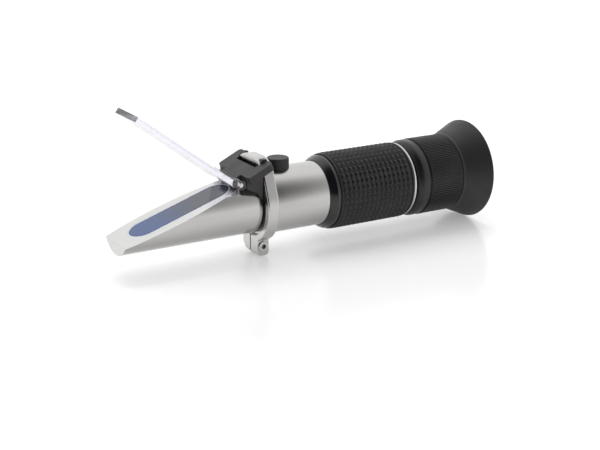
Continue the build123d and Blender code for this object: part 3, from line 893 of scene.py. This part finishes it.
@dataclass
class Bracket(Assembly):
    """The moulded hinge bracket and its pin."""

    edge_mm: float = 0.3
    edge_segments: int = 3
    pin_edge_mm: float = 0.12

    def build(self) -> None:
        """Builds and dresses the bracket."""
        tee = rounded_copy("hinge_bracket", "bracket", self.edge_mm, self.edge_segments)
        self.dress(tee, MOULDED_NYLON.build(), "black_moulding", "hinge_bracket")
        pin = rounded_copy("hinge_pin", "pin", self.pin_edge_mm)
        self.dress(pin, BRIGHT_NICKEL.build(), "bright_metal", "hinge_pin")


@dataclass
class Plate(Assembly):
    """The clear daylight plate, which throws almost no shadow."""

    edge_mm: float = 0.3
    edge_segments: int = 3

    def build(self) -> None:
        """Builds and dresses the plate."""
        plate = rounded_copy("daylight_plate", "clear_plate", self.edge_mm, self.edge_segments)
        plate.visible_shadow = False
        self.dress(plate, CLEAR_ACRYLIC.build(), "clear_acrylic", "daylight_plate")


@dataclass
class Optics(Assembly):
    """The objective, the scale and what holds them inside the tube."""

    def build(self) -> None:
        """Dresses the pieces inside the tube."""
        black = BLACK_ANODISE.build()
        brass = TURNED_BRASS.build()
        glass = COATED_GLASS.build()
        for node in ("objective_carrier", "scale_holder", "scale_retainer", "eyepiece_barrel"):
            self.keep(node, black)
        self.keep("bimetal_strip", brass)
        self.keep("strip_screw", BRIGHT_NICKEL.build())
        self.keep("scale_disc", glass)
        moving = Assembly("objective")
        moving.keep("objective_cell", black)
        moving.keep("objective_lens", glass)


@dataclass
class Grip(Assembly):
    """The gloss bead, the rubber sleeve with its rows of small pyramids and the bright ring."""

    rows: int = 36
    pitch_mm: float = 2.25
    point_mm: float = 0.6
    root_depth_mm: float = 0.55
    front_border_mm: float = 0.6
    rear_border_mm: float = 0.9
    sunk_mm: float = 0.25
    shoulder_mm: float = 0.02
    shoulder_share: float = 0.96
    top_share: float = 0.28
    end_round_mm: float = 0.3
    border_round_mm: float = 0.2
    front_drop_mm: float = 0.1
    rear_drop_mm: float = 0.05
    root_step_mm: float = 0.1
    bead_edge_mm: float = 0.12
    ring_wall_mm: float = 1.4
    ring_front_round_mm: float = 0.15
    ring_rear_round_mm: float = 0.4

    def pyramid(self, radius: float) -> bpy.types.Object:
        """Makes one blunt pyramid of the grip.

        Args:
            radius: radius that the pyramids stand on, in millimetres.

        Returns:
            The pyramid, with its foot sunk a little below that radius.
        """
        half_along = self.pitch_mm / 2
        half_round = math.pi * radius / self.rows
        corners = []
        for level, share in (
            (-self.sunk_mm, 1.0),
            (self.shoulder_mm, self.shoulder_share),
            (self.point_mm, self.top_share),
        ):
            for side_x, side_y in ((-1, -1), (1, -1), (1, 1), (-1, 1)):
                corners.append((side_x * half_along * share, side_y * half_round * share, level))
        faces = [(8, 9, 10, 11)]
        for base in (0, 4):
            for turn in range(4):
                beside = (turn + 1) % 4
                faces.append((base + turn, base + beside, base + beside + 4, base + turn + 4))
        return small_form("pyramid", corners, faces)

    def build(self) -> None:
        """Builds and dresses the grip."""
        rubber = GRIP_RUBBER.build()
        low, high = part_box("grip_sleeve")
        start = station(low.x)
        end = station(high.x)
        outer = radius_of("grip_sleeve")
        bore = radius_of("main_tube")
        root = outer - self.root_depth_mm
        first = start + self.front_border_mm
        last = end - self.rear_border_mm
        sleeve = turned("sleeve", [
            (start, bore, 0),
            (start, outer - self.end_round_mm, self.end_round_mm),
            (first - self.border_round_mm, outer - self.front_drop_mm, self.border_round_mm),
            (first + self.root_step_mm, root, 0),
            (last - self.root_step_mm, root, 0),
            (last + self.border_round_mm, outer - self.rear_drop_mm, self.border_round_mm),
            (end, outer - self.end_round_mm, self.end_round_mm),
            (end, bore, 0),
        ])
        self.dress(sleeve, rubber, "black_rubber", "grip_sleeve")
        columns = int((last - first) / self.pitch_mm)
        spare = (last - first) - columns * self.pitch_mm
        points = Around("pyramid_rows").grow("grip_points", {
            "Rows": self.rows,
            "Columns": columns,
            "Radius": root * MM,
            "Pitch": self.pitch_mm * MM,
            "Start": nose_x() + (first + (self.pitch_mm + spare) / 2) * MM,
            "Axis height": axis_height(),
            "Half turn": 0.5,
            "Form": self.pyramid(root),
            "Finish": rubber,
        })
        self.dress(points, rubber, "black_rubber")
        trim = rounded_copy("grip_trim", "bead", self.bead_edge_mm)
        self.dress(trim, GLOSS_BLACK.build(), "gloss_black", "grip_trim")
        ring_low, ring_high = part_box("accent_ring")
        ring_start = station(ring_low.x)
        ring_end = station(ring_high.x)
        ring_radius = radius_of("accent_ring")
        ring = turned("bright_ring", [
            (ring_start, bore - self.ring_wall_mm, 0),
            (ring_start, ring_radius, self.ring_front_round_mm),
            (ring_end, ring_radius, self.ring_rear_round_mm),
            (ring_end, bore - self.ring_wall_mm, 0),
        ])
        self.dress(ring, BRIGHT_NICKEL.build(), "bright_metal", "accent_ring")


@dataclass
class FocusRing(Assembly):
    """The focusing ring: a bead, a groove and a band of fine ribs up to the eyecup."""

    bore_mm: float = 12.13
    rear_bore_mm: float = 10.5
    web_mm: float = 16.7
    front_drop_mm: float = 1.7
    front_round_mm: float = 0.4
    slope_mm: float = 0.7
    slope_round_mm: float = 1.2
    bead_start_mm: float = 2.4
    bead_round_mm: float = 2.0
    bead_drop_mm: float = 0.15
    groove_start_mm: float = 5.5
    groove_end_mm: float = 6.4
    groove_depth_mm: float = 0.6
    groove_lip_mm: float = 0.25
    groove_round_mm: float = 0.1
    band_round_mm: float = 0.12
    ribs: int = 120
    rib_height_mm: float = 0.34
    rib_foot_mm: float = 0.34
    rib_top_mm: float = 0.15
    sunk_mm: float = 0.15
    rib_slope_mm: float = 0.25

    def rib(self, length: float) -> bpy.types.Object:
        """Makes one rib with slanted ends and a narrow top.

        Args:
            length: the rib's length in millimetres.

        Returns:
            The rib.
        """
        corners = []
        for level, half_width, half in (
            (-self.sunk_mm, self.rib_foot_mm, length / 2),
            (self.rib_height_mm, self.rib_top_mm, length / 2 - self.rib_slope_mm),
        ):
            for side_x, side_y in ((-1, -1), (1, -1), (1, 1), (-1, 1)):
                corners.append((side_x * half, side_y * half_width, level))
        faces = [(4, 5, 6, 7), (0, 1, 5, 4), (1, 2, 6, 5), (2, 3, 7, 6), (3, 0, 4, 7)]
        return small_form("rib", corners, faces)

    def build(self) -> None:
        """Builds and dresses the focusing ring."""
        plastic = SATIN_ABS.build()
        low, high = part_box("focus_ring")
        start = station(low.x)
        end = station(high.x)
        outer = radius_of("focus_ring")
        bead = outer - self.bead_drop_mm
        root = outer - self.rib_height_mm
        groove = start + self.groove_start_mm
        band = start + self.groove_end_mm
        floor = bead - self.groove_depth_mm
        ring = turned("focus_body", [
            (start, self.bore_mm, 0),
            (start, bead - self.front_drop_mm, self.front_round_mm),
            (start + self.slope_mm, bead - self.slope_mm, self.slope_round_mm),
            (start + self.bead_start_mm, bead, self.bead_round_mm),
            (groove, bead, self.groove_lip_mm),
            (groove, floor, self.groove_round_mm),
            (band, floor, self.groove_round_mm),
            (band, root, self.band_round_mm),
            (end, root, 0),
            (end, self.rear_bore_mm, 0),
            (start + self.web_mm, self.rear_bore_mm, 0),
            (start + self.web_mm, self.bore_mm, 0),
        ], around=FINE_AROUND)
        self.dress(ring, plastic, "black_moulding", "focus_ring")
        ribs = Around("rib_row").grow("focus_ribs", {
            "Rows": self.ribs,
            "Columns": 1,
            "Radius": root * MM,
            "Pitch": 0.0,
            "Start": nose_x() + (band + end) / 2 * MM,
            "Axis height": axis_height(),
            "Half turn": 0.5,
            "Form": self.rib(end - band),
            "Finish": plastic,
        })
        self.dress(ribs, plastic, "black_moulding")


@dataclass
class Ocular(Assembly):
    """The sliding eyepiece with its two lenses."""

    lens_edge_mm: float = 0.05

    def build(self) -> None:
        """Dresses the eyepiece."""
        black = BLACK_ANODISE.build()
        glass = COATED_GLASS.build()
        for node in ("ocular_cell", "lens_spacer", "lens_retainer"):
            self.keep(node, black)
        for node in ("field_lens", "eye_lens"):
            lens = rounded_copy(node, node + "_glass", self.lens_edge_mm)
            self.dress(lens, glass, "lens_glass", node)


@dataclass
class Eyecup(Assembly):
    """The soft flared eyecup."""

    root_mm: float = 1.2
    root_radius_mm: float = 16.8
    throat_mm: float = 9.3
    floor_mm: float = 3.2
    floor_radius_mm: float = 10.45
    wall_mm: float = 2.0
    lip_mm: float = 1.2
    throat_round_mm: float = 0.3
    throat_step_mm: float = 1.0
    root_round_mm: float = 3.0
    rim_back_mm: float = 0.7
    rim_drop_mm: float = 0.25
    rim_round_mm: float = 0.5
    lip_round_mm: float = 0.4
    bowl_round_mm: float = 4.0
    floor_round_mm: float = 0.5
    corner_steps: int = 6

    def build(self) -> None:
        """Builds and dresses the eyecup."""
        low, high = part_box("eyecup")
        start = station(low.x)
        end = station(high.x)
        rim = radius_of("eyecup")
        cup = turned("cup", [
            (start, self.throat_mm, self.throat_round_mm),
            (start, self.root_radius_mm, self.throat_round_mm),
            (start + self.root_mm, self.root_radius_mm, self.root_round_mm),
            (end - self.rim_back_mm, rim, self.rim_round_mm),
            (end, rim - self.rim_drop_mm, self.lip_round_mm),
            (end, rim - self.lip_mm, self.lip_round_mm),
            (start + self.root_mm + self.floor_mm, self.root_radius_mm - self.wall_mm, self.bowl_round_mm),
            (start + self.floor_mm, self.floor_radius_mm, self.floor_round_mm),
            (start + self.floor_mm - self.throat_step_mm, self.throat_mm, self.throat_round_mm),
        ], around=FINE_AROUND, steps=self.corner_steps)
        self.dress(cup, SOFT_RUBBER.build(), "black_rubber", "eyecup")


# Studio


@dataclass
class Studio:
    """A white table with soft light from above and behind, and a darker room in front."""

    camera_place: tuple[float, float, float] = (-0.26204, -0.44556, 0.17379)
    pitch_degrees: float = 17.77
    yaw_degrees: float = 30.35
    lens_mm: float = 77.52
    far_clip: float = 50.0
    table_size: float = 6.0
    table_colour: str = "#f2f2f2"
    table_roughness: float = 0.2
    table_glow: float = 0.27
    table_shine: float = 0.22
    room_grey: float = 0.01
    room_height: float = 0.6
    room_start: float = 0.35
    room_end: float = 0.85
    sky: float = 1.1
    fill: float = 0.62
    key_watts: float = 5.0
    key_size: float = 0.9
    key_place: tuple[float, float, float] = (0.15, 0.45, 1.0)

    def camera(self) -> None:
        """Sets the camera where the photograph was taken."""
        data = bpy.data.cameras.new("camera")
        data.lens = self.lens_mm
        data.clip_end = self.far_clip
        camera = bpy.data.objects.new("camera", data)
        camera.location = self.camera_place
        camera.rotation_euler = (math.radians(90 - self.pitch_degrees), 0, -math.radians(self.yaw_degrees))
        bpy.context.scene.collection.objects.link(camera)
        bpy.context.scene.camera = camera

    def table(self) -> None:
        """Lays a white, faintly glossy table under the object."""
        bpy.ops.mesh.primitive_plane_add(size=self.table_size, location=(0, 0, 0))
        table = bpy.context.object
        table.name = "table"
        material = bpy.data.materials.new("white_laminate")
        material.use_nodes = True
        tree = material.node_tree
        shader = tree.nodes["Principled BSDF"]
        shader.inputs["Base Color"].default_value = linear(self.table_colour)
        shader.inputs["Roughness"].default_value = self.table_roughness
        path = add_node(tree, "ShaderNodeLightPath")
        mirrored = add_node(
            tree, "ShaderNodeMath", {"operation": "MAXIMUM"},
            {0: path.outputs["Is Glossy Ray"], 1: path.outputs["Is Transmission Ray"]},
        )
        glow = add_node(
            tree, "ShaderNodeMath", {"operation": "MULTIPLY"},
            {0: path.outputs["Is Camera Ray"], 1: self.table_glow},
        )
        lit = add_node(
            tree, "ShaderNodeMath", {"operation": "MULTIPLY_ADD"},
            {0: mirrored.outputs[0], 1: self.table_shine, 2: glow.outputs[0]},
        )
        shader.inputs["Emission Color"].default_value = (1, 1, 1, 1)
        tree.links.new(lit.outputs[0], shader.inputs["Emission Strength"])
        table.data.materials.append(material)

    def world(self) -> None:
        """Makes the surroundings: white behind and above, a dim room on the camera's side."""
        world = bpy.data.worlds.new("studio")
        world.use_nodes = True
        bpy.context.scene.world = world
        tree = world.node_tree
        tree.nodes.clear()
        towards = math.radians(self.yaw_degrees)
        flat = math.sqrt(1 - self.room_height ** 2)
        room = (-math.sin(towards) * flat, -math.cos(towards) * flat, self.room_height)
        ray = add_node(tree, "ShaderNodeTexCoord")
        facing = add_node(
            tree, "ShaderNodeVectorMath", {"operation": "DOT_PRODUCT"},
            {0: ray.outputs["Generated"], 1: room},
        )
        dim = add_node(
            tree,
            "ShaderNodeMapRange",
            {"interpolation_type": "SMOOTHSTEP"},
            {"Value": facing.outputs["Value"], "From Min": self.room_start, "From Max": self.room_end,
             "To Min": self.sky, "To Max": self.room_grey},
        )
        path = add_node(tree, "ShaderNodeLightPath")
        open_ray = add_node(
            tree, "ShaderNodeMath", {"operation": "MAXIMUM"},
            {0: path.outputs["Is Camera Ray"], 1: path.outputs["Is Transmission Ray"]},
        )
        soft = add_node(tree, "ShaderNodeBackground", {}, {"Color": (1, 1, 1, 1), "Strength": self.fill})
        seen = add_node(
            tree, "ShaderNodeBackground", {}, {"Color": (1, 1, 1, 1), "Strength": dim.outputs["Result"]}
        )
        white = add_node(tree, "ShaderNodeBackground", {}, {"Color": (1, 1, 1, 1), "Strength": 1.0})
        first = add_node(
            tree, "ShaderNodeMixShader", {},
            {0: path.outputs["Is Glossy Ray"], 1: soft.outputs[0], 2: seen.outputs[0]},
        )
        last = add_node(
            tree, "ShaderNodeMixShader", {},
            {0: open_ray.outputs[0], 1: first.outputs[0], 2: white.outputs[0]},
        )
        add_node(tree, "ShaderNodeOutputWorld", {}, {"Surface": last.outputs[0]})

    def lamp(self, name: str, place: tuple[float, float, float], size: float, watts: float) -> None:
        """Hangs one soft lamp that looks at the object and leaves no image of itself on it.

        Args:
            name: the lamp's name.
            place: where it hangs, in metres.
            size: its side in metres.
            watts: its power.
        """
        data = bpy.data.lights.new(name, "AREA")
        data.shape = "SQUARE"
        data.size = size
        data.energy = watts
        lamp = bpy.data.objects.new(name, data)
        lamp.location = place
        lamp.rotation_euler = (-Vector(place)).to_track_quat("-Z", "Y").to_euler()
        lamp.visible_glossy = False
        bpy.context.scene.collection.objects.link(lamp)

    def build(self) -> None:
        """Builds the studio."""
        bpy.context.scene.view_settings.view_transform = "Standard"
        self.camera()
        self.table()
        self.world()
        self.lamp("softbox", self.key_place, self.key_size, self.key_watts)


def main() -> None:
    """Builds every sub-assembly around the frame."""
    logging.basicConfig(level=logging.INFO, format="%(message)s")
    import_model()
    Studio().build()
    units = (
        Nose("frame"),
        TubeUnit("frame"),
        Clamp("frame"),
        Bracket("frame"),
        Plate("plate"),
        Optics("frame"),
        Grip("frame"),
        FocusRing("focus"),
        Ocular("ocular"),
        Eyecup("focus"),
    )
    for unit in units:
        unit.build()


if __name__ == "__main__":
    main()
